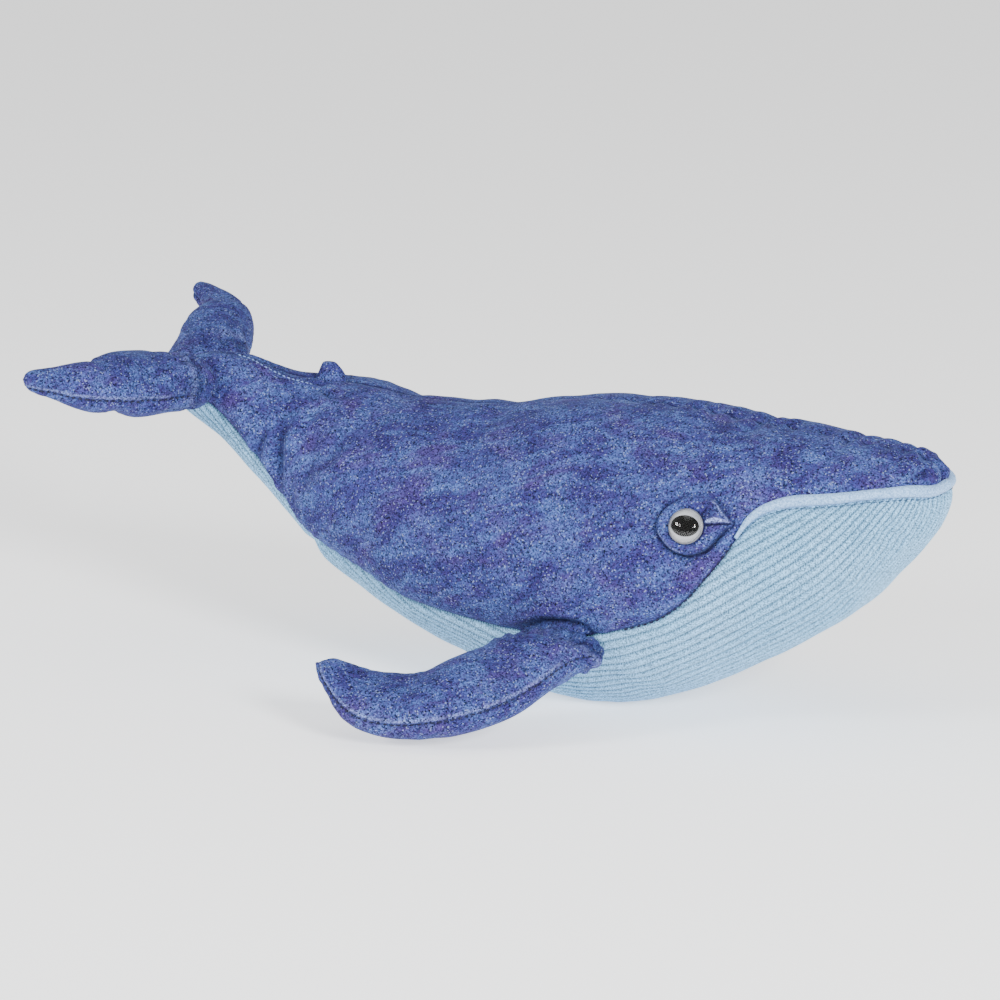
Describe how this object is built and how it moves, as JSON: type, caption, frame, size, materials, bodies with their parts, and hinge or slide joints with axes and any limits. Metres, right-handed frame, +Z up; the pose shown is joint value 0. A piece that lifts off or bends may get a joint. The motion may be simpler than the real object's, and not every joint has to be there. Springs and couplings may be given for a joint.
{
  "type": "plush whale",
  "caption": "Stuffed whale with a swollen body, ribbed throat and belly, mouth piping, safety eyes, sprung flippers and tail flukes, and a small dorsal fin.",
  "frame": {"origin": "on the flat of the belly that the toy rests on, on its centreline", "axes": "+X towards the nose, +Y to the whale's left, +Z up"},
  "size_m": [0.3385, 0.2164, 0.1278],
  "materials": {
    "plush": "short-pile printed plush, mottled blue",
    "ribbed": "pale blue wide-wale corduroy",
    "piping": "smooth light blue fabric",
    "fibre": "white polyester fibre filling",
    "pearl": "glossy pearl grey",
    "black": "glossy black",
    "clear": "clear polished acrylic",
    "white": "plain moulded white"
  },
  "bodies": {
    "torso": {"side_panel_right": "plush", "side_panel_left": "plush", "belly_panel": "ribbed", "lip_piping": "piping", "dorsal_fin": "plush", "body_stuffing": "fibre", "eye_patch_right": "plush", "eye_patch_left": "plush", "eye_right_dish": "pearl", "eye_right_pupil": "black", "eye_right_lens": "clear", "eye_right_washer": "white", "eye_left_dish": "pearl", "eye_left_pupil": "black", "eye_left_lens": "clear", "eye_left_washer": "white"},
    "flipper_right": {"flipper_right_upper_panel": "plush", "flipper_right_lower_panel": "plush", "flipper_right_stuffing": "fibre"},
    "flipper_left": {"flipper_left_upper_panel": "plush", "flipper_left_lower_panel": "plush", "flipper_left_stuffing": "fibre"},
    "fluke_right": {"fluke_right_upper_panel": "plush", "fluke_right_lower_panel": "plush", "fluke_right_stuffing": "fibre"},
    "fluke_left": {"fluke_left_upper_panel": "plush", "fluke_left_lower_panel": "plush", "fluke_left_stuffing": "fibre"}
  },
  "joints": [
    {"name": "flipper_right_root", "type": "hinge", "parent": "torso", "child": "flipper_right", "pos_m": [-0.00261, -0.05499, 0.02844], "axis": [-1, 0, 0], "range_deg": [-20, 35], "stiffness_Nm_per_rad": 0.04},
    {"name": "flipper_left_root", "type": "hinge", "parent": "torso", "child": "flipper_left", "pos_m": [-0.00261, 0.05499, 0.02844], "axis": [1, 0, 0], "range_deg": [-20, 35], "stiffness_Nm_per_rad": 0.04},
    {"name": "fluke_right_root", "type": "hinge", "parent": "torso", "child": "fluke_right", "pos_m": [-0.17483, -0.03197, 0.10583], "axis": [-0.9511, 0.3065, 0.0393], "range_deg": [-20, 20], "stiffness_Nm_per_rad": 0.04},
    {"name": "fluke_left_root", "type": "hinge", "parent": "torso", "child": "fluke_left", "pos_m": [-0.18206, 0.00525, 0.10715], "axis": [0.8039, 0.59, 0.0756], "range_deg": [-20, 20], "stiffness_Nm_per_rad": 0.04}
  ]
}
